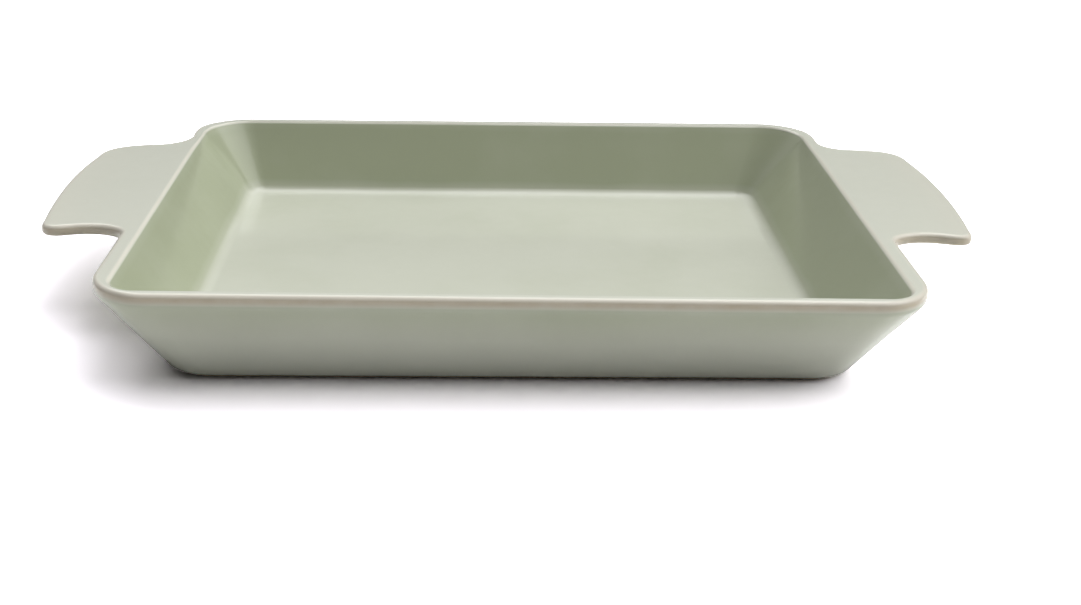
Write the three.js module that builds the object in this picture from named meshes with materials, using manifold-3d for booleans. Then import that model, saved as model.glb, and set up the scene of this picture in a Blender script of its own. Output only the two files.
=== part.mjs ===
// A rectangular stoneware baking dish with a flat tab handle at each short end.
// Millimetres, +Z up. The origin is the middle of the footprint, on the table.
// +X runs along the dish to the right handle, and +Y to the far long side.

import * as THREE from "three";
import { mergeVertices } from "three/addons/utils/BufferGeometryUtils.js";
import loadManifold from "manifold-3d";

// The rim, measured over its outer edge
const rimLength = 340;
const rimWidth = 260;
const rimCornerRadius = 25;
const dishHeight = 47;

// The lip: a flat top with soft edges and a short upright band outside
const lipWidth = 8;
const lipOuterRound = 2;
const lipInnerRound = 3.5;
const lipInnerCornerRadius = 17;
const bandHeight = 5.5;
const bandRound = 6;

// The flared walls: how far each one runs in from the rim on its way down
const outerSpread = 23;
const innerSpread = 24;

// The base and the floor
const floorThickness = 12;
const floorRound = 7;
const floorCornerRadius = 15;
const floorFlatCornerRadius = 8;
const baseRound = 4.5;
const baseCornerRadius = 21;

// The bare foot ring under the base
const footHeight = 2;
const footWidth = 7;
const footSetIn = 3.5;
const footChamfer = 0.6;

// The tab handles, measured out from the rim's outer edge
const handleReach = 41;
const handleThickness = 5;
const handleRootWidth = 142;
const handleWaistWidth = 126;
const handleTipWidth = 131;
const handleFlareRun = 7;
const handleWaistAt = 16;
const handleTipRound = 13;
const handleEndBow = 3.5;
const handleEdgeRound = 1.6;
// Both tabs stand this far behind the middle of their end
const handleSetBack = 15;

// The joint: a tongue on each handle lies in a rebate in the lip
const handleTongue = 4;
const jointClearance = 0.3;

// How finely curves are cut into facets
const cornerSteps = 5;
const roundSteps = 4;
const handleCurveSteps = 8;
const handleEdgeSteps = 3;

// How far a cutting block reaches past what it cuts
const cutMargin = 10;

const wasm = await loadManifold();
wasm.setup();

function toSolid(geometry) {
  const bare = geometry.index ? geometry.toNonIndexed() : geometry.clone();
  bare.deleteAttribute("normal");
  bare.deleteAttribute("uv");
  const merged = mergeVertices(bare);
  const mesh = new wasm.Mesh({
    numProp: 3,
    vertProperties: Float32Array.from(merged.attributes.position.array),
    triVerts: Uint32Array.from(merged.index.array),
  });
  return new wasm.Manifold(mesh);
}

function toGeometry(solid) {
  const mesh = solid.getMesh();
  const geometry = new THREE.BufferGeometry();
  geometry.setAttribute("position", new THREE.BufferAttribute(Float32Array.from(mesh.vertProperties), 3));
  geometry.setIndex(new THREE.BufferAttribute(Uint32Array.from(mesh.triVerts), 1));
  geometry.computeVertexNormals();
  return geometry;
}

// A block between two corners
function block(low, high) {
  const size = high.clone().sub(low);
  const middle = low.clone().add(high).multiplyScalar(0.5);
  const geometry = new THREE.BoxGeometry(size.x, size.y, size.z);
  geometry.translate(middle.x, middle.y, middle.z);
  return geometry;
}

// One level outline of the dish, anticlockwise, with the same number of points at every size
function ring(inset, z, cornerRadius) {
  const x = rimLength / 2 - inset - cornerRadius;
  const y = rimWidth / 2 - inset - cornerRadius;
  const quarter = Math.PI / 2;
  const path = new THREE.Path();
  path.absarc(x, y, cornerRadius, 0, quarter);
  path.absarc(-x, y, cornerRadius, quarter, 2 * quarter);
  path.absarc(-x, -y, cornerRadius, 2 * quarter, 3 * quarter);
  path.absarc(x, -y, cornerRadius, 3 * quarter, 4 * quarter);
  return path.getPoints(cornerSteps).map((point) => new THREE.Vector3(point.x, point.y, z));
}

// Joins rings into a closed surface: a loop closes on its first ring, and other ends get flat caps
function loft(rings, isLoop) {
  const count = rings[0].length;
  const points = rings.flat();
  const triangles = [];
  const spans = isLoop ? rings.length : rings.length - 1;
  for (let span = 0; span < spans; span += 1) {
    const lower = span * count;
    const upper = ((span + 1) % rings.length) * count;
    for (let i = 0; i < count; i += 1) {
      const j = (i + 1) % count;
      triangles.push(lower + i, lower + j, upper + j);
      triangles.push(lower + i, upper + j, upper + i);
    }
  }
  if (!isLoop) {
    const first = points.length;
    const last = first + 1;
    const lastRing = (rings.length - 1) * count;
    points.push(new THREE.Vector3(0, 0, rings[0][0].z));
    points.push(new THREE.Vector3(0, 0, rings[rings.length - 1][0].z));
    for (let i = 0; i < count; i += 1) {
      const j = (i + 1) % count;
      triangles.push(first, j, i);
      triangles.push(last, lastRing + i, lastRing + j);
    }
  }
  const geometry = new THREE.BufferGeometry().setFromPoints(points);
  geometry.setIndex(triangles);
  geometry.computeVertexNormals();
  return geometry;
}

// Turns a section's corners, each with its inset, height, rounding and plan radius, into ring settings
function roundedSection(corners) {
  const at = corners.map((corner) => new THREE.Vector2(corner.inset, corner.z));
  return corners.flatMap((corner, i) => {
    if (!corner.round) {
      return [{ inset: corner.inset, z: corner.z, plan: corner.plan }];
    }
    const before = at[i - 1].clone().sub(at[i]);
    const after = at[i + 1].clone().sub(at[i]);
    const reachBefore = before.length();
    const reachAfter = after.length();
    before.normalize();
    after.normalize();
    const halfAngle = Math.acos(before.dot(after)) / 2;
    const tangent = corner.round / Math.tan(halfAngle);
    const centre = before.clone().add(after).normalize();
    centre.multiplyScalar(corner.round / Math.sin(halfAngle)).add(at[i]);
    const start = before.multiplyScalar(tangent).add(at[i]).sub(centre);
    const end = after.multiplyScalar(tangent).add(at[i]).sub(centre);
    const startPlan = THREE.MathUtils.lerp(corner.plan, corners[i - 1].plan, tangent / reachBefore);
    const endPlan = THREE.MathUtils.lerp(corner.plan, corners[i + 1].plan, tangent / reachAfter);
    const sweep = Math.PI - 2 * halfAngle;
    return Array.from({ length: roundSteps + 1 }, (_, step) => {
      const t = step / roundSteps;
      const fromStart = Math.sin((1 - t) * sweep) / Math.sin(sweep);
      const fromEnd = Math.sin(t * sweep) / Math.sin(sweep);
      return {
        inset: centre.x + fromStart * start.x + fromEnd * end.x,
        z: centre.y + fromStart * start.y + fromEnd * end.y,
        plan: THREE.MathUtils.lerp(startPlan, endPlan, t),
      };
    });
  });
}

const floorTop = footHeight + floorThickness;
const handleUnderside = dishHeight - handleThickness;

// The tray's section, from under the base, up the outside, over the lip and down to the floor
function trayGeometry() {
  const floorInset = lipWidth + innerSpread;
  const corners = [
    { inset: outerSpread + baseRound, z: footHeight, plan: baseCornerRadius - baseRound },
    { inset: outerSpread, z: footHeight, round: baseRound, plan: baseCornerRadius },
    { inset: 0, z: dishHeight - bandHeight, round: bandRound, plan: rimCornerRadius },
    { inset: 0, z: dishHeight, round: lipOuterRound, plan: rimCornerRadius },
    { inset: lipWidth, z: dishHeight, round: lipInnerRound, plan: lipInnerCornerRadius },
    { inset: floorInset, z: floorTop, round: floorRound, plan: floorCornerRadius },
    { inset: floorInset + floorRound, z: floorTop, plan: floorFlatCornerRadius },
  ];
  return loft(roundedSection(corners).map((level) => ring(level.inset, level.z, level.plan)), false);
}

// The rebate at one end, where side is 1 for the right end and -1 for the left
function rebateGeometry(side) {
  const back = side * (rimLength / 2 - handleTongue - jointClearance);
  const front = side * (rimLength / 2 + cutMargin);
  const halfWidth = handleRootWidth / 2 + jointClearance;
  const low = new THREE.Vector3(Math.min(back, front), handleSetBack - halfWidth, handleUnderside);
  const high = new THREE.Vector3(Math.max(back, front), handleSetBack + halfWidth, dishHeight + cutMargin);
  return block(low, high);
}

function bodyGeometry() {
  const tray = toSolid(trayGeometry());
  const rebates = toSolid(rebateGeometry(1)).add(toSolid(rebateGeometry(-1)));
  return toGeometry(tray.subtract(rebates));
}

// The tab's outline: out along its near side, round its bowed end and back along its far side
function handleOutline() {
  const root = handleRootWidth / 2;
  const waist = handleWaistWidth / 2;
  const tip = handleTipWidth / 2;
  const inner = -handleTongue - cutMargin;
  const shoulder = handleReach - handleEndBow - handleTipRound;
  const endCorner = handleReach - handleEndBow;
  const flareMiddle = (handleWaistAt + shoulder) / 2;
  const outline = new THREE.Shape();
  outline.moveTo(inner, -root);
  outline.lineTo(0, -root);
  outline.quadraticCurveTo(handleFlareRun, -waist, handleWaistAt, -waist);
  outline.bezierCurveTo(flareMiddle, -waist, flareMiddle, -tip, shoulder, -tip);
  outline.quadraticCurveTo(endCorner, -tip, endCorner, handleTipRound - tip);
  outline.quadraticCurveTo(handleReach + handleEndBow, 0, endCorner, tip - handleTipRound);
  outline.quadraticCurveTo(endCorner, tip, shoulder, tip);
  outline.bezierCurveTo(flareMiddle, tip, flareMiddle, waist, handleWaistAt, waist);
  outline.quadraticCurveTo(handleFlareRun, waist, 0, root);
  outline.lineTo(inner, root);
  return outline;
}

// The tab lies flat with its underside at z = 0 and its root edge at x = 0, and is cut off square at its tongue
function handleGeometry() {
  const tab = new THREE.ExtrudeGeometry(handleOutline(), {
    depth: handleThickness - 2 * handleEdgeRound,
    curveSegments: handleCurveSteps,
    bevelEnabled: true,
    bevelThickness: handleEdgeRound,
    bevelSize: handleEdgeRound,
    bevelOffset: -handleEdgeRound,
    bevelSegments: handleEdgeSteps,
  });
  tab.translate(0, 0, handleEdgeRound);
  const cutLow = new THREE.Vector3(-handleTongue - 2 * cutMargin, -handleRootWidth, -cutMargin);
  const cutHigh = new THREE.Vector3(-handleTongue, handleRootWidth, handleThickness + cutMargin);
  return toGeometry(toSolid(tab).subtract(toSolid(block(cutLow, cutHigh))));
}

function footGeometry() {
  const outer = outerSpread + footSetIn;
  const inner = outer + footWidth;
  const outerPlan = baseCornerRadius - footSetIn;
  const innerPlan = outerPlan - footWidth;
  return loft([
    ring(outer + footChamfer, 0, outerPlan - footChamfer),
    ring(outer, footChamfer, outerPlan),
    ring(outer, footHeight, outerPlan),
    ring(inner, footHeight, innerPlan),
    ring(inner, footChamfer, innerPlan),
    ring(inner - footChamfer, 0, innerPlan + footChamfer),
  ], true);
}

function glaze() {
  return new THREE.MeshStandardMaterial({ name: "glaze", color: 0xc6cbb9, roughness: 0.3, metalness: 0 });
}

function bareClay() {
  return new THREE.MeshStandardMaterial({ name: "bare_clay", color: 0xc4b294, roughness: 0.85, metalness: 0 });
}

function piece(name, geometry, material) {
  const mesh = new THREE.Mesh(geometry, material);
  mesh.name = name;
  return mesh;
}

const dish = new THREE.Group();
dish.add(piece("dish_body", bodyGeometry(), glaze()));
dish.add(piece("foot_ring", footGeometry(), bareClay()));

const rightHandle = piece("right_handle", handleGeometry(), glaze());
rightHandle.position.set(rimLength / 2, handleSetBack, handleUnderside);
dish.add(rightHandle);

const leftHandle = piece("left_handle", handleGeometry(), glaze());
leftHandle.position.set(-rimLength / 2, handleSetBack, handleUnderside);
leftHandle.rotation.z = Math.PI;
dish.add(leftHandle);

export default dish;
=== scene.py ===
# A glazed stoneware baking dish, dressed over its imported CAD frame.
# Sizes are in millimetres until a mesh is made. The floor, the lamps and the bumps are in metres.

import math

import bpy
import numpy as np
from mathutils import Matrix, Vector


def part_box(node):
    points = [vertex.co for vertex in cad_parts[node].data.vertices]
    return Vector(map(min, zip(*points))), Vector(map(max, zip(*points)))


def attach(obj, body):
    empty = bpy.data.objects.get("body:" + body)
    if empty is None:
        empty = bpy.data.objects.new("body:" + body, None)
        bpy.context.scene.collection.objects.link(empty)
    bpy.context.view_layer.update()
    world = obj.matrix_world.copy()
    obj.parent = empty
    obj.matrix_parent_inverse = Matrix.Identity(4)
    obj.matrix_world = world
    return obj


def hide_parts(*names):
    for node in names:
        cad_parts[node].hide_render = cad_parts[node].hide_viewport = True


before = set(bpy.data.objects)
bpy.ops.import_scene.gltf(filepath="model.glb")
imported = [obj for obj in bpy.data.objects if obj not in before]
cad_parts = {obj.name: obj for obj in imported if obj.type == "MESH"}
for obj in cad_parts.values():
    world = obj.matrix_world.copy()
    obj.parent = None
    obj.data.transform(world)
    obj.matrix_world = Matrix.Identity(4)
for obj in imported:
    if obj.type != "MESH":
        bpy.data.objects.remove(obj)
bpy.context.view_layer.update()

MM = 0.001
quarter_turn = math.pi / 2

# The rim, as the CAD body has it, with the far corners rounder than the near ones
body_low, body_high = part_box("dish_body")
rim_length = (body_high.x - body_low.x) / MM
rim_width = (body_high.y - body_low.y) / MM
dish_height = body_high.z / MM
base_height = body_low.z / MM
rim_corner = 25.0
far_corner_extra = 6.0
far_inner_extra = 13.0

# The lip and the band below its outer edge
lip_width = 8.0
lip_outer_round = 2.2
lip_inner_round = 3.0
lip_inner_corner = 11.0
near_lip_trim = 3.2
far_lip_trim = 2.5
band_height = 5.5
band_round = 6.0

# The flared walls, the floor and the base
outer_spread = 23.0
inner_spread = 24.0
wall_slope = outer_spread / (dish_height - band_height - base_height)
floor_top = 14.0
floor_round = 7.0
floor_corner = 9.0
floor_flat_corner = 5.0
right_lean = 5.0
base_round = 2.5
base_corner = 21.0

# The foot ring
foot_low, foot_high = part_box("foot_ring")
foot_inset = (foot_low.x - body_low.x) / MM
foot_width = 7.0
foot_height = foot_high.z / MM
foot_corner = 17.5
foot_round = 0.8

# The tab handles, measured out from the rim's outer edge
tab_low, tab_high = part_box("right_handle")
tab_reach = (tab_high.x - body_high.x) / MM
tab_bottom = tab_low.z / MM
tab_middle = (tab_low.y + tab_high.y) / 2 / MM
tab_flare_run = 7.0
tab_end_bow = 3.5
tab_edge_round = 1.7
right_extra_reach = 1.2
near_tab_side = {
    "root": 70.0, "waist": 63.5, "waist_at": 16.0, "taper_at": 20.0, "tip": 68.5, "tip_round": 12.0,
    "fillet": 5.0, "share": 0.3,
}
right_far_side = {
    "root": 72.5, "waist": 66.5, "waist_at": 11.0, "taper_at": 14.0, "tip": 64.0, "tip_round": 16.0,
    "fillet": 9.0, "share": 0.5,
}
left_far_side = {**right_far_side, "waist": 64.5, "tip": 58.0, "fillet": 11.0}
cove_radius = 4.0
tongue_depth = 4.0
tab_blend_run = 8.0
right_tab = 1
left_tab = 2

# The height where the wall runs plain below the tabs, and how far the rim's rings drop beside their undersides
wall_start = 38.0
under_ring_drop = 0.4

# The unevenness of the fired dish: a twist of the rim, sides pinched in behind the tabs and tabs that sink
rim_twist = 0.7
left_pinch = 3.2
right_pinch = 2.2
pinch_middle = 95.0
pinch_run = 30.0
pinch_depth = 12.0
tab_droop = 0.4
droop_power = 1.7

# How many columns the surface has along each stretch of the rim
corner_columns = 22
long_side_columns = 70
plain_end_columns = 12
outline_steps = {"fillet": 10, "flare": 8, "turn": 8, "side": 5, "tip": 14, "end": 20}

# How the rings lie from the floor to the base, and how the plan corners shrink towards the middle of the floor
floor_ring_insets = (122, 104, 86, 70, 58, 48)
base_ring_insets = (32, 40, 52, 70, 96, 122)
lip_ring_shares = (0.03, 0.25, 0.5, 0.75, 0.96, 1.0)
ring_spacing = 4.0
inner_round_steps = 12
base_round_steps = 8
arris_points = 7
edge_points = 3
bottom_points = 5
under_points = 5
cove_points = 6
foot_round_points = 5
floor_corner_fade = 12.0
least_corner = 1.0

# The glaze's depth, from 0 where it is thin to 1 where it is deep. On the outer wall it fades to thin
# towards the base as painted light that lifts the shade there. Runs are shares of the inner wall's height
even_depth = 0.5
outer_depth = 0.8
deep_run = 0.15
thin_from = 0.955
thin_run = 0.04

# How far the glaze thins to cream inside the lip, over the lip and round its outer arris. On the inner
# and outer arrises the cream is also a painted highlight
inner_cream_and_highlight = 0.55
inner_cream_highlight_from = 0.965
inner_cream_highlight_run = 0.025
inner_cream_highlight_end_run = 0.004
lip_cream = 0.3
lip_cream_power = 4
arris_cream_highlight_run = 0.4

# Where the glaze breaks to tan: from a share of the arris, then over rings down the rim's band and the tabs
arris_tan_from = 0.5
band_rings = 6
tab_tan_rings = 9
tab_tan_start = 1.25

# Colours of the glaze and the bare clay
sage_thin_and_painted_light = (0.608, 0.622, 0.537)
sage = (0.548, 0.567, 0.475)
sage_deep = (0.361, 0.393, 0.272)
# The cream is thinned glaze and also a painted highlight along the arrises
thin_cream_and_highlight = (0.70, 0.665, 0.575)
break_tan = (0.47, 0.41, 0.295)
clay_buff = (0.56, 0.45, 0.31)
clay_pale = (0.66, 0.56, 0.42)
speck_brown = (0.36, 0.33, 0.24)

# The noise in both, each a scale and a detail, and the span that most of a noise's values lie in
cloud_noise = (22, 4)
grain_noise = (620, 2)
patch_noise = (140, 3)
clay_cloud_noise = (60, 4)
sand_noise = (900, 3)
noise_span = (0.3, 0.7)

# The glaze's surface
cloud_depth = 0.06
tan_patches = (0.75, 1)
glaze_roughness = (0.34, 0.42)
glaze_specular = 0.2
coat_weight = 1.0
coat_roughness = 0.13
grain_strength = 0.06
grain_height = 0.0004

# The bare clay's surface
clay_cloud_span = (0.35, 0.65)
speck_span = (0.58, 0.72)
speck_most = 0.5
clay_roughness = (0.75, 0.95)
sand_strength = 0.4
sand_height = 0.0003

# The floor: the camera sees it bright enough to be white but for the shadow, and the glaze reflects it as white
floor_half = 20.0
floor_pale = (0.93, 0.92, 0.925)
floor_reflected = (1.0, 1.0, 1.0)
floor_white = (1.82, 1.75, 1.87)

# The camera, at the photograph's viewing angle. Its angles are in radians and its clipping is in metres
image_width = 1081
focal_pixels = 1453.6
camera_place = Vector((-16.6, -656.4, 265.0)) * MM
camera_pitch = 0.3943
camera_yaw = 0.0491
camera_roll = -0.0263
sensor_width = 36.0
clip_start = 0.01

# The softboxes' distance, and the sky's lobes, each a direction and a level
lamp_distance = 5.0
sky_lobe_power = 12
sky_lobes = (
    ((0.49, 0.85, 0.21), 0.04),
    ((-0.58, 0.58, 0.57), 0.48),
)


def mix(a, b, t):
    return a + (b - a) * t


def smoothstep(t):
    t = np.clip(t, 0, 1)
    return t * t * (3 - 2 * t)


def bezier(points, steps):
    """Points along a Bezier curve after its first one."""
    points = np.array(points, float)
    degree = len(points) - 1
    t = np.linspace(0, 1, steps + 1)[1:, None]
    total = np.zeros((steps, points.shape[1]))
    for i, point in enumerate(points):
        total = total + math.comb(degree, i) * t**i * (1 - t) ** (degree - i) * point
    return total


def half_outline(side):
    """One side of a tab's outline, from the rim to the middle of the tab's end, as (outward, along)."""
    root = np.array([0, side["root"]])
    bend = np.array([tab_flare_run, side["waist"]])
    waist = np.array([side["waist_at"], side["waist"]])
    first = mix(root, bend, side["share"])
    second = mix(bend, waist, side["share"])
    join = mix(first, second, side["share"])
    crossing = first - (second - first) * first[0] / (second[0] - first[0])
    start = crossing + np.array([0, side["fillet"]])
    turn = np.array([side["taper_at"], side["waist"]])
    corner = np.array([tab_reach - tab_end_bow, side["tip"]])
    leaving = (corner - turn) / np.linalg.norm(corner - turn)
    eased = turn + leaving * (side["taper_at"] - side["waist_at"])
    shoulder = corner - leaving * side["tip_round"]
    tip_end = corner - [0, side["tip_round"]]
    bow = np.array([tab_reach + tab_end_bow, 0])
    middle = mix(mix(tip_end, bow, 0.5), mix(bow, tip_end * [1, -1], 0.5), 0.5)
    curves = [
        ([start, crossing, join], "fillet"),
        ([join, second, waist], "flare"),
        ([waist, turn, eased], "turn"),
        ([eased, shoulder], "side"),
        ([shoulder, corner, tip_end], "tip"),
        ([tip_end, mix(tip_end, bow, 0.5), middle], "end"),
    ]
    return np.vstack([start] + [bezier(points, outline_steps[name]) for points, name in curves])


def tab_outline(far_side, extra_reach):
    """A tab's whole outline, from its near root to its far root, as (outward, along)."""
    near = half_outline(near_tab_side) * [1, -1]
    far = half_outline(far_side)
    return np.vstack([near, far[-2::-1]]) * [1 + extra_reach / tab_reach, 1]


def end_columns(outline):
    """The columns along a short end, from near to far.
    Gives their level on the side, their outer edge in plan and 1 where they are on the tab."""
    steps = np.linalg.norm(np.diff(outline, axis=0), axis=1)
    share = np.concatenate([[0], np.cumsum(steps)]) / steps.sum()
    along = mix(outline[0, 1], outline[-1, 1], share) + tab_middle
    straight = rim_width / 2 - rim_corner
    before = np.linspace(-straight, along[0], plain_end_columns + 1)[:-1]
    after = np.linspace(along[-1], straight - far_corner_extra, plain_end_columns + 1)[1:]
    level_after = np.linspace(along[-1] / straight, 1, plain_end_columns + 1)[1:]
    level = np.concatenate([before / straight, along / straight, level_after])
    past_rim = np.concatenate([0 * before, outline[:, 0], 0 * after])
    place = np.concatenate([before, outline[:, 1] + tab_middle, after])
    on_tab = np.concatenate([0 * before, 1 + 0 * along, 0 * after]).astype(int)
    return level, np.column_stack([rim_length / 2 + past_rim, place]), on_tab


def plain_edge(stands, far):
    """The rim's outer edge in plan for columns off the short ends."""
    radius = rim_corner + far_corner_extra * far
    half = np.column_stack([rim_length / 2 - radius, rim_width / 2 - radius])
    return stands[:, :2] * half + radius[:, None] * stands[:, 2:]


def columns():
    """Where each column of the surface stands on the rim, anticlockwise from the near end of the right side.
    Gives the side shares with the outward directions, how far the far corners' rounding counts, the outer edge
    in plan, its outward directions and which tab the column belongs to."""
    stretches = []

    def add_end(far_side, extra_reach, sign, tab):
        level, end_edge, on_tab = end_columns(tab_outline(far_side, extra_reach))
        ones = np.ones(len(level))
        stands = np.column_stack([sign * ones, level, sign * ones, 0 * ones])
        stretch = [stands, np.maximum(level, 0), end_edge * [sign, 1], on_tab * tab]
        stretches.append([part[::sign] for part in stretch])

    def add_plain(stands, is_far):
        far = np.full(len(stands), float(is_far))
        stretches.append([stands, far, plain_edge(stands, far), np.zeros(len(stands), int)])

    def add_corner(start, x, y):
        turned = np.linspace(0, quarter_turn, corner_columns + 2)[1:-1] + start
        ones = np.ones(corner_columns)
        add_plain(np.column_stack([x * ones, y * ones, np.cos(turned), np.sin(turned)]), y > 0)

    def add_long_side(y):
        shares = np.linspace(-1, 1, long_side_columns) * -y
        ones = np.ones(long_side_columns)
        add_plain(np.column_stack([shares, y * ones, 0 * ones, y * ones]), y > 0)

    add_end(right_far_side, right_extra_reach, 1, right_tab)
    add_corner(0, 1, 1)
    add_long_side(1)
    add_corner(quarter_turn, -1, 1)
    add_end(left_far_side, 0, -1, left_tab)
    add_corner(2 * quarter_turn, -1, -1)
    add_long_side(-1)
    add_corner(3 * quarter_turn, 1, -1)
    stands, far, rim_edge, tab = (np.concatenate(parts) for parts in zip(*stretches))
    tangent = np.roll(rim_edge, -1, axis=0) - np.roll(rim_edge, 1, axis=0)
    tangent /= np.linalg.norm(tangent, axis=1)[:, None]
    outward = np.column_stack([tangent[:, 1], -tangent[:, 0]])
    return stands, far, rim_edge, outward, tab


where, far_share, edge, edge_out, tab_of = columns()
column_count = len(where)
reach = np.maximum(np.abs(edge[:, 0]) - rim_length / 2, 0) * (tab_of > 0)
tab_share = smoothstep(reach / tab_blend_run)


def at_height(plan, z):
    return np.column_stack([plan, np.full(column_count, z)])


def plan_ring(inset, corner, far_extra=0.0):
    """One level outline of the dish in plan, with a point for every column."""
    radius = corner + far_extra * far_share
    half = np.column_stack([rim_length / 2 - inset - radius, rim_width / 2 - inset - radius])
    return where[:, :2] * half + radius[:, None] * where[:, 2:]


def corner_plan(inset):
    """The plan corner radius of the outer side at an inset."""
    return mix(rim_corner, base_corner, inset / outer_spread)


def far_extra_at(inset):
    """How much rounder the far corners of the outer side are at an inset."""
    return far_corner_extra * max(1 - inset / outer_spread, 0)


def level_ring(inset, z, corner, far_extra=0.0):
    return at_height(plan_ring(inset, corner, far_extra), z)


def inner_ring(inset, z, corner):
    """A ring inside the dish. The near and far lips are a little narrower than the side ones, and the right
    wall leans in a little more."""
    lowered = (dish_height - z) / (dish_height - floor_top)
    ring = level_ring(inset, z, corner, far_inner_extra * (1 - lowered))
    trimmed = np.clip((inset - tongue_depth) / (lip_width - tongue_depth), 0, 1)
    to_right = (1 + ring[:, 0] / (rim_length / 2 - inset)) / 2
    to_far = (1 + ring[:, 1] / (rim_width / 2 - inset)) / 2
    ring[:, 0] -= right_lean * lowered * to_right
    ring[:, 1] += trimmed * mix(-near_lip_trim, far_lip_trim, to_far)
    return ring


def rounded_section(corners, steps):
    """Rounds a section's corners, each (inset, z, plan radius, rounding), and fills the straights between."""
    at = [np.array(corner[:3], float) for corner in corners]
    bends = []
    for i, corner in enumerate(corners):
        rounding = corner[3]
        if not rounding:
            bends.append([at[i]])
            continue
        before = at[i - 1] - at[i]
        after = at[i + 1] - at[i]
        reach_before = np.linalg.norm(before[:2])
        reach_after = np.linalg.norm(after[:2])
        cosine = before[:2] @ after[:2] / (reach_before * reach_after)
        half_angle = math.acos(cosine) / 2
        tangent = rounding / math.tan(half_angle)
        start = at[i] + before * tangent / reach_before
        end = at[i] + after * tangent / reach_after
        middle = (start + end) / 2 - at[i]
        centre = at[i] + middle * rounding / math.sin(half_angle) / np.linalg.norm(middle[:2])
        sweep = math.pi - 2 * half_angle
        arc = []
        for t in np.linspace(0, 1, steps + 1):
            spread = np.sin([(1 - t) * sweep, t * sweep]) / math.sin(sweep)
            point = centre + spread[0] * (start - centre) + spread[1] * (end - centre)
            point[2] = mix(start[2], end[2], t)
            arc.append(point)
        bends.append(arc)
    section = list(bends[0])
    for bend in bends[1:]:
        gap = np.linalg.norm(bend[0][:2] - section[-1][:2])
        fill = max(1, round(gap / ring_spacing))
        section += [mix(section[-1], bend[0], t) for t in np.linspace(0, 1, fill + 1)[1:-1]]
        section += bend
    return section


def plain_inset(z):
    """How far in from the rim's outer edge the plain outer side lies at a height, band and wall alike."""
    band_bottom = dish_height - band_height
    half_turn = math.atan(wall_slope) / 2
    tangent = band_round * math.tan(half_turn)
    drop = band_bottom + tangent - z
    if drop <= 0:
        return 0.0
    if z <= band_bottom - tangent * math.cos(2 * half_turn):
        return (band_bottom - z) * wall_slope
    return band_round - math.sqrt(band_round**2 - drop * drop)


def side_rings():
    """The rings from below the lip's outer arris to the plain wall, round the tabs' edges and undersides.
    Also gives how many of them the tabs own."""
    lip_side = dish_height - lip_outer_round
    under_start = tab_bottom + tab_edge_round
    tab_side = [(0.0, z) for z in np.linspace(lip_side, under_start, edge_points + 1)[1:]]
    for turned in np.linspace(0, quarter_turn, bottom_points + 1)[1:]:
        offset = tab_edge_round * (1 - math.cos(turned))
        tab_side.append((offset, under_start - tab_edge_round * math.sin(turned)))

    wall_angle = math.atan(wall_slope)
    cove_tangent = cove_radius * math.tan((quarter_turn - wall_angle) / 2)
    cove_height = cove_tangent * math.cos(wall_angle)
    meeting = (dish_height - band_height - tab_bottom) * wall_slope
    cove_end = -meeting - cove_tangent * math.sin(wall_angle)
    under_end = tab_bottom - under_ring_drop
    plain_heights = [z for _, z in tab_side]
    plain_heights += list(np.linspace(tab_bottom, under_end, under_points + 1)[1:])
    plain_heights += list(np.linspace(under_end, tab_bottom - cove_height, cove_points + 1)[1:])
    plain_heights.append(wall_start)

    rim_plan = plan_ring(0, rim_corner)
    outward = where[:, 2:]
    under_first = edge - tab_edge_round * edge_out
    cove_reach = np.minimum(cove_tangent - meeting, np.maximum(reach - tab_edge_round, 0))
    cove_start = rim_plan + cove_reach[:, None] * outward
    rings = []
    for i, z in enumerate(plain_heights):
        inset = plain_inset(z)
        settled = smoothstep(i / (len(plain_heights) - 1))
        on_wall = plan_ring(inset, corner_plan(inset), far_extra_at(inset))
        plain = at_height(mix(edge - inset * edge_out, on_wall, settled), z)
        under_index = i - len(tab_side)
        cove_index = under_index - under_points
        if under_index < 0:
            offset, tab_z = tab_side[i]
            on_tab = at_height(edge - offset * edge_out, tab_z)
        elif cove_index < 0:
            share = (under_index + 1) / under_points
            on_tab = at_height(mix(under_first, cove_start, share), tab_bottom)
        elif cove_index < cove_points:
            share = (cove_index + 1) / cove_points
            leaving = (1 - share) ** 2
            bending = 2 * share * (1 - share)
            arriving = share**2
            out_now = leaving * cove_reach + bending * -meeting + arriving * cove_end
            on_tab = at_height(rim_plan + out_now[:, None] * outward, tab_bottom - arriving * cove_height)
        else:
            on_tab = plain
        rings.append(mix(plain, on_tab, tab_share[:, None]))
    return rings, len(tab_side) + under_points + cove_points


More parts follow.
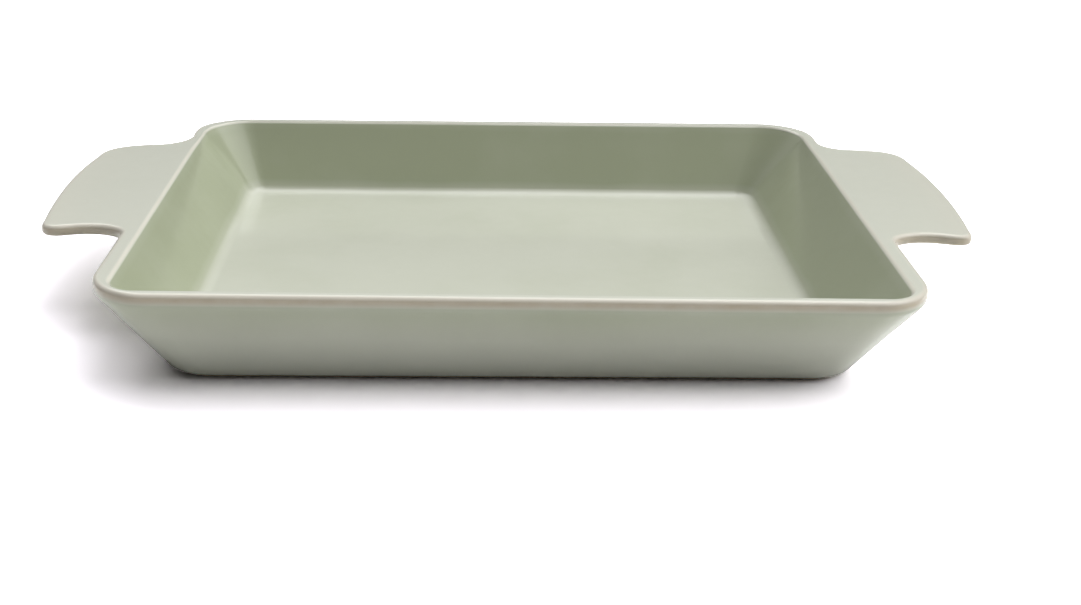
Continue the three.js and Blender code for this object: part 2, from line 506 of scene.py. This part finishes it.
def surface():
    """Every ring of the dish from the middle of the floor, over the lip and tabs, to the middle of the base.
    Gives the rings, the glaze's state on each, and the rings that bound the tabs. The glaze's state is its
    depth, which on the outer wall also paints light that pales it towards the base, how far it thins to cream,
    which on the arrises is also a painted highlight, and how far it breaks to tan."""
    made = []
    states = []

    def add(points, depth_and_painted_light=even_depth, cream_and_highlight=0.0, tan=0.0):
        made.append(points)
        states.append(np.stack([np.broadcast_to(state, column_count) for state in (depth_and_painted_light, cream_and_highlight, tan)]))

    floor_inset = lip_width + inner_spread
    floor_flat = floor_inset + floor_round
    for inset in floor_ring_insets:
        corner = floor_flat_corner - (inset - floor_flat) / floor_corner_fade
        add(inner_ring(inset, floor_top, max(corner, least_corner)))
    seam_corner = mix(rim_corner, lip_inner_corner, tongue_depth / lip_width)
    inner = rounded_section([
        (floor_flat, floor_top, floor_flat_corner, 0),
        (floor_inset, floor_top, floor_corner, floor_round),
        (lip_width, dish_height, lip_inner_corner, lip_inner_round),
        (tongue_depth, dish_height, seam_corner, 0),
    ], inner_round_steps)
    for inset, z, corner in inner:
        up = (z - floor_top) / (dish_height - floor_top)
        deepened = even_depth + (1 - even_depth) * smoothstep(up / deep_run)
        # The cream on the inner arris is thinned glaze and also a painted highlight where that edge catches the
        # light
        cream_and_highlight = inner_cream_and_highlight * smoothstep((up - inner_cream_highlight_from) / inner_cream_highlight_run)
        cream_and_highlight = cream_and_highlight * smoothstep((1 - up) / inner_cream_highlight_end_run)
        add(inner_ring(inset, z, corner), deepened - smoothstep((up - thin_from) / thin_run), cream_and_highlight)
    top = len(made) - 1
    seam = made[-1][:, :2]
    arris_start = edge - lip_outer_round * edge_out
    for share in lip_ring_shares:
        over_lip = mix(seam, arris_start, share)
        add(at_height(over_lip, dish_height), 0, lip_cream * share**lip_cream_power)
    for angle in np.linspace(0, quarter_turn, arris_points + 1)[1:]:
        offset = lip_outer_round * (1 - math.sin(angle))
        z = dish_height - lip_outer_round * (1 - math.cos(angle))
        # The cream round the outer arris is thinned glaze and also a painted highlight
        turned = angle / quarter_turn
        cream_and_highlight = mix(lip_cream, 1, smoothstep(turned / arris_cream_highlight_run))
        tan = smoothstep((turned - arris_tan_from) / (1 - arris_tan_from))
        add(at_height(edge - offset * edge_out, z), 0, cream_and_highlight, tan)
    sides, handle_count = side_rings()
    bottom = len(made) + handle_count - 1
    for i, ring in enumerate(sides):
        rim_tan = smoothstep(1 - i / band_rings)
        tab_tan = smoothstep(tab_tan_start - i / tab_tan_rings)
        add(ring, outer_depth * smoothstep(i / band_rings), 0, mix(rim_tan, tab_tan, tab_share))
    wall_inset = plain_inset(wall_start)
    outer = rounded_section([
        (wall_inset, wall_start, corner_plan(wall_inset), 0),
        (outer_spread, base_height, base_corner, base_round),
        (outer_spread + base_round, base_height, base_corner - base_round, 0),
    ], base_round_steps)
    # The outer wall pales to thin glaze towards the base: painted light that lifts the shade near the table
    for inset, z, corner in outer[1:]:
        up = (z - base_height) / (wall_start - base_height)
        add(level_ring(inset, z, corner, far_extra_at(inset)), outer_depth * up)
    for inset in base_ring_insets:
        add(level_ring(inset, base_height, max(base_corner - (inset - outer_spread), least_corner)))
    return np.array(made), np.stack(states, axis=1), top, bottom


def fired(points):
    """The points as the kiln leaves them: the rim twists, its sides pinch in behind the tabs, the tabs sink."""
    x, y, z = np.moveaxis(points, -1, 0)
    raised = smoothstep((z - floor_top) / (dish_height - floor_top))
    past = np.maximum(np.abs(x) - rim_length / 2, 0) / tab_reach
    at_edge = smoothstep(1 - (rim_length / 2 - np.abs(x)) / pinch_depth)
    pinch = np.cos(np.clip((y - pinch_middle) / pinch_run, -1, 1) * quarter_turn) ** 2
    pinch = pinch * at_edge * raised * np.where(x > 0, right_pinch, -left_pinch)
    twist = rim_twist * raised * (2 * x / rim_length) * (2 * y / rim_width)
    return np.stack([x - pinch, y, z + twist - tab_droop * past**droop_power], axis=-1)


rings, glaze_states, top_seam, bottom_seam = surface()
ring_count = len(rings)
shell = fired(rings).reshape(-1, 3)


def face(ring, column, ring_total):
    """The points of the face between a ring and the next one. The last ring is followed by the first."""
    after = (column + 1) % column_count
    low = ring * column_count
    high = (ring + 1) % ring_total * column_count
    return (low + column, high + column, high + after, low + after)


def home_tab(ring, column):
    """The tab that a face belongs to, or 0 where it is the body's."""
    after = (column + 1) % column_count
    if top_seam <= ring < bottom_seam and tab_of[column] == tab_of[after]:
        return tab_of[column]
    return 0


all_faces = [(ring, column) for ring in range(ring_count - 1) for column in range(column_count)]
quads = np.array([face(ring, column, ring_count) for ring, column in all_faces])
diagonals = shell[quads]
face_normals = np.cross(diagonals[:, 2] - diagonals[:, 0], diagonals[:, 3] - diagonals[:, 1])
shell_normals = np.zeros_like(shell)
for i in range(4):
    np.add.at(shell_normals, quads[:, i], face_normals)
shell_normals[:column_count] = (0, 0, 1)
shell_normals[-column_count:] = (0, 0, -1)
shell_normals /= np.linalg.norm(shell_normals, axis=1)[:, None]

# Behind each tab a tongue lies in a rebate in the lip: its inner edge is a row of points below the top seam
tab_columns = {}
tongue_rows = {}
tongue_points = []
for tab in (right_tab, left_tab):
    tab_columns[tab] = np.flatnonzero(tab_of == tab)
    tongue_rows[tab] = {}
    for column in tab_columns[tab]:
        above = shell[top_seam * column_count + column]
        tongue_rows[tab][column] = len(shell) + len(tongue_points)
        tongue_points.append((above[0], above[1], tab_bottom))
all_points = np.vstack([shell, tongue_points])
tongue_states = np.zeros((len(glaze_states), len(tongue_points)))
all_states = np.hstack([glaze_states.reshape(len(glaze_states), -1), tongue_states])
tongue_normals = np.tile([0.0, 0.0, 1.0], (len(tongue_points), 1))
all_normals = [Vector(normal) for normal in np.vstack([shell_normals, tongue_normals])]


def joint_faces(tab):
    """The hidden faces where a tab meets the body, wound for the tab."""
    members = tab_columns[tab]
    row = tongue_rows[tab]
    top = top_seam * column_count
    bottom = bottom_seam * column_count
    faces = []
    for column, after in zip(members, members[1:]):
        faces.append((top + column, top + after, row[after], row[column]))
        faces.append((row[column], row[after], bottom + after, bottom + column))
    first, last = members[0], members[-1]
    start = [ring * column_count + first for ring in range(top_seam, bottom_seam + 1)]
    finish = [ring * column_count + last for ring in range(top_seam, bottom_seam + 1)]
    faces.append(tuple([row[first]] + start[::-1]))
    faces.append(tuple([row[last]] + finish))
    return faces


def new_object(name, data):
    """An object with some data, linked into the scene."""
    made = bpy.data.objects.new(name, data)
    bpy.context.scene.collection.objects.link(made)
    return made


def make_piece(name, faces, smooth_count, material):
    """A mesh piece over the shared points. Faces before smooth_count take the shared smooth normals."""
    used = sorted({i for corners in faces for i in corners})
    renumber = {old: new for new, old in enumerate(used)}
    mesh = bpy.data.meshes.new(name)
    mesh.from_pydata(
        [Vector(all_points[i]) * MM for i in used], [], [[renumber[i] for i in corners] for corners in faces],
    )
    mesh.update()
    for state, values in zip(("glaze_depth_and_painted_light", "glaze_cream_and_highlight", "glaze_tan"), all_states):
        layer = mesh.attributes.new(state, "FLOAT", "POINT")
        layer.data.foreach_set("value", values[used].astype(np.float32))
    normals = []
    for polygon, corners in zip(mesh.polygons, faces):
        polygon.use_smooth = True
        if polygon.index < smooth_count:
            normals += [all_normals[i] for i in corners]
        else:
            normals += [polygon.normal.copy()] * len(corners)
    mesh.normals_split_custom_set(normals)
    mesh.materials.append(material)
    return new_object(name, mesh)


def foot_piece(name, material):
    """The bare foot ring, with soft edges, as a closed loop of rings."""
    inner_inset = foot_inset + foot_width
    inner_corner = foot_corner - foot_width
    bends = []
    for angle in np.linspace(0, quarter_turn, foot_round_points):
        bends.append((foot_round * (1 - math.cos(angle)), foot_round * (1 - math.sin(angle))))
    section = [(foot_inset, foot_height, foot_corner)]
    section += [(foot_inset + step, rise, foot_corner - step) for step, rise in bends]
    section += [(inner_inset - step, rise, inner_corner + step) for step, rise in bends[::-1]]
    section.append((inner_inset, foot_height, inner_corner))
    points = np.vstack([level_ring(inset, z, corner) for inset, z, corner in section])
    count = len(section)
    faces = [face(ring, column, count) for ring in range(count) for column in range(column_count)]
    mesh = bpy.data.meshes.new(name)
    mesh.from_pydata([Vector(point) * MM for point in points], [], faces)
    mesh.update()
    mesh.shade_smooth()
    mesh.materials.append(material)
    return new_object(name, mesh)


def node_graph(name):
    material = bpy.data.materials.new(name)
    material.use_nodes = True
    nodes = material.node_tree.nodes
    links = material.node_tree.links
    return material, nodes, links, nodes["Principled BSDF"]


def noise_node(nodes, links, coordinates, scale, detail):
    node = nodes.new("ShaderNodeTexNoise")
    node.inputs["Scale"].default_value = scale
    node.inputs["Detail"].default_value = detail
    links.new(coordinates.outputs["Object"], node.inputs["Vector"])
    return node.outputs["Fac"]


def ranged(nodes, links, value, span, target):
    """Maps a span of a value to a target span, and holds it there."""
    node = nodes.new("ShaderNodeMapRange")
    node.inputs["From Min"].default_value, node.inputs["From Max"].default_value = span
    node.inputs["To Min"].default_value, node.inputs["To Max"].default_value = target
    links.new(value, node.inputs["Value"])
    return node.outputs["Result"]


def math_node(nodes, links, operation, values, clamp=False):
    """A Math node over values that are each a number or a socket."""
    node = nodes.new("ShaderNodeMath")
    node.operation = operation
    node.use_clamp = clamp
    for socket, value in zip(node.inputs, values):
        if isinstance(value, bpy.types.NodeSocket):
            links.new(value, socket)
        else:
            socket.default_value = value
    return node.outputs["Value"]


def colour_mix(nodes, links, amount, first, second):
    """Mixes two colours, each a tuple or a socket."""
    node = nodes.new("ShaderNodeMix")
    node.data_type = "RGBA"
    links.new(amount, node.inputs["Factor"])
    for name, colour in (("A", first), ("B", second)):
        socket = [s for s in node.inputs if s.name == name and s.type == "RGBA"][0]
        if isinstance(colour, tuple):
            socket.default_value = (*colour, 1)
        else:
            links.new(colour, socket)
    return [s for s in node.outputs if s.type == "RGBA"][0]


def attribute(nodes, name):
    node = nodes.new("ShaderNodeAttribute")
    node.attribute_name = name
    return node.outputs["Fac"]


def add_bump(nodes, links, shader, height, strength, distance):
    bump = nodes.new("ShaderNodeBump")
    bump.inputs["Strength"].default_value = strength
    bump.inputs["Distance"].default_value = distance
    links.new(height, bump.inputs["Height"])
    links.new(bump.outputs["Normal"], shader.inputs["Normal"])


def glaze_material():
    """Sage glaze: paler where it lies thin, greener where it lies deep, and cloudy. On the outer wall the
    fade to thin glaze towards the base is painted light. On an edge it thins to cream, which on the arrises
    is also a painted highlight, and then breaks to tan."""
    material, nodes, links, shader = node_graph("sage_glaze")
    coordinates = nodes.new("ShaderNodeTexCoord")
    cloud = noise_node(nodes, links, coordinates, *cloud_noise)
    grain = noise_node(nodes, links, coordinates, *grain_noise)
    patch = noise_node(nodes, links, coordinates, *patch_noise)
    clouding = ranged(nodes, links, cloud, noise_span, (-cloud_depth, cloud_depth))
    depth_and_painted_light = math_node(nodes, links, "ADD", (attribute(nodes, "glaze_depth_and_painted_light"), clouding))
    ramp = nodes.new("ShaderNodeValToRGB")
    ramp.color_ramp.elements[0].color = (*sage_thin_and_painted_light, 1)
    ramp.color_ramp.elements[1].color = (*sage_deep, 1)
    ramp.color_ramp.elements.new(even_depth).color = (*sage, 1)
    links.new(depth_and_painted_light, ramp.inputs["Fac"])
    colour = colour_mix(nodes, links, attribute(nodes, "glaze_cream_and_highlight"), ramp.outputs["Color"], thin_cream_and_highlight)
    patches = ranged(nodes, links, patch, noise_span, tan_patches)
    broken = math_node(nodes, links, "MULTIPLY", (attribute(nodes, "glaze_tan"), patches), clamp=True)
    colour = colour_mix(nodes, links, broken, colour, break_tan)
    links.new(colour, shader.inputs["Base Color"])
    links.new(ranged(nodes, links, patch, noise_span, glaze_roughness), shader.inputs["Roughness"])
    shader.inputs["Specular IOR Level"].default_value = glaze_specular
    shader.inputs["Coat Weight"].default_value = coat_weight
    shader.inputs["Coat Roughness"].default_value = coat_roughness
    add_bump(nodes, links, shader, grain, grain_strength, grain_height)
    return material


def clay_material():
    """Bare buff stoneware: matt, sandy and speckled."""
    material, nodes, links, shader = node_graph("bare_clay_foot")
    coordinates = nodes.new("ShaderNodeTexCoord")
    cloud = noise_node(nodes, links, coordinates, *clay_cloud_noise)
    sand = noise_node(nodes, links, coordinates, *sand_noise)
    paler = ranged(nodes, links, cloud, clay_cloud_span, (0, 1))
    specks = ranged(nodes, links, sand, speck_span, (0, speck_most))
    colour = colour_mix(nodes, links, paler, clay_buff, clay_pale)
    colour = colour_mix(nodes, links, specks, colour, speck_brown)
    links.new(colour, shader.inputs["Base Color"])
    links.new(ranged(nodes, links, sand, noise_span, clay_roughness), shader.inputs["Roughness"])
    add_bump(nodes, links, shader, sand, sand_strength, sand_height)
    return material


def floor_material():
    """A matt floor, pale for the light it sends on, white in reflections and whiter still to the camera."""
    material, nodes, links, shader = node_graph("pale_floor")
    nodes.remove(shader)
    path = nodes.new("ShaderNodeLightPath")
    reflected = (path.outputs["Is Glossy Ray"], path.outputs["Is Transmission Ray"])
    in_gloss = math_node(nodes, links, "MAXIMUM", reflected)
    colour = colour_mix(nodes, links, in_gloss, floor_pale, floor_reflected)
    colour = colour_mix(nodes, links, path.outputs["Is Camera Ray"], colour, floor_white)
    matt = nodes.new("ShaderNodeBsdfDiffuse")
    links.new(colour, matt.inputs["Color"])
    links.new(matt.outputs["BSDF"], nodes["Material Output"].inputs["Surface"])
    return material


glaze = glaze_material()
clay = clay_material()

body_faces = []
tab_faces = {right_tab: [], left_tab: []}
for (ring, column), corners in zip(all_faces, quads.tolist()):
    tab_faces.get(home_tab(ring, column), body_faces).append(tuple(corners))
smooth_body = len(body_faces)
body_faces.append(tuple(range(column_count)))
body_faces.append(tuple(range((ring_count - 1) * column_count, ring_count * column_count))[::-1])
for tab in (right_tab, left_tab):
    body_faces += [corners[::-1] for corners in joint_faces(tab)]

body = make_piece("glazed_tray", body_faces, smooth_body, glaze)
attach(body, "root")
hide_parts("dish_body")

tab_names = ((right_tab, "glazed_right_tab", "right_handle"), (left_tab, "glazed_left_tab", "left_handle"))
for tab, name, node in tab_names:
    handle = make_piece(name, tab_faces[tab] + joint_faces(tab), len(tab_faces[tab]), glaze)
    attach(handle, "root")
    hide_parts(node)

foot = foot_piece("bare_foot_ring", clay)
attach(foot, "root")
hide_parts("foot_ring")

floor_corners = [
    (-floor_half, -floor_half, 0),
    (floor_half, -floor_half, 0),
    (floor_half, floor_half, 0),
    (-floor_half, floor_half, 0),
]
floor_mesh = bpy.data.meshes.new("floor")
floor_mesh.from_pydata(floor_corners, [], [(0, 1, 2, 3)])
floor_mesh.materials.append(floor_material())
floor = new_object("floor", floor_mesh)

forward = Vector((
    math.sin(camera_yaw) * math.cos(camera_pitch),
    math.cos(camera_yaw) * math.cos(camera_pitch),
    -math.sin(camera_pitch),
))
level_right = Vector((math.cos(camera_yaw), -math.sin(camera_yaw), 0))
level_down = forward.cross(level_right)
camera_right = level_right * math.cos(camera_roll) + level_down * math.sin(camera_roll)
camera_down = level_down * math.cos(camera_roll) - level_right * math.sin(camera_roll)
camera_data = bpy.data.cameras.new("camera")
camera_data.sensor_width = sensor_width
camera_data.sensor_fit = "HORIZONTAL"
camera_data.lens = focal_pixels * sensor_width / image_width
camera_data.clip_start = clip_start
camera = new_object("camera", camera_data)
camera_turn = Matrix((camera_right, -camera_down, -forward)).transposed().to_4x4()
camera.matrix_world = Matrix.Translation(camera_place) @ camera_turn
bpy.context.scene.camera = camera


def soft_lamp(name, azimuth, elevation, size, power, mirrored=True):
    """A rectangular softbox that faces the dish. Its azimuth from the dish's right and its elevation are in
    degrees, its size in metres and its power in watts."""
    data = bpy.data.lights.new(name, "AREA")
    data.shape = "RECTANGLE"
    data.size, data.size_y = size
    data.energy = power
    level = math.cos(math.radians(elevation))
    towards = Vector((
        level * math.cos(math.radians(azimuth)),
        level * math.sin(math.radians(azimuth)),
        math.sin(math.radians(elevation)),
    ))
    lamp = new_object(name, data)
    lamp.visible_camera = False
    lamp.visible_glossy = mirrored
    lamp.location = towards * lamp_distance
    lamp.rotation_euler = (-towards).to_track_quat("-Z", "Y").to_euler()


soft_lamp("right_low_softbox", 0, 45, (5.0, 5.0), 182, mirrored=False)
soft_lamp("right_high_softbox", 0, 66, (4.5, 4.5), 100)
soft_lamp("front_right_softbox", -22, 60, (5.0, 5.0), 24, mirrored=False)
soft_lamp("back_softbox", 95, 60, (4.5, 4.5), 145)
soft_lamp("back_low_softbox", 90, 17, (5.0, 1.2), 115, mirrored=False)


def studio_sky():
    """A soft sky that is brighter towards some sides: the sum of a few broad lobes."""
    world = bpy.data.worlds.new("studio")
    bpy.context.scene.world = world
    world.use_nodes = True
    nodes = world.node_tree.nodes
    links = world.node_tree.links
    coordinates = nodes.new("ShaderNodeTexCoord")
    total = 0
    for direction, level in sky_lobes:
        facing = nodes.new("ShaderNodeVectorMath")
        facing.operation = "DOT_PRODUCT"
        facing.inputs[1].default_value = Vector(direction).normalized()
        links.new(coordinates.outputs["Generated"], facing.inputs[0])
        front = math_node(nodes, links, "MAXIMUM", (facing.outputs["Value"], 0))
        lobe = math_node(nodes, links, "POWER", (front, sky_lobe_power))
        total = math_node(nodes, links, "MULTIPLY_ADD", (lobe, level, total))
    links.new(total, nodes["Background"].inputs["Color"])


studio_sky()

bpy.context.scene.view_settings.view_transform = "Standard"
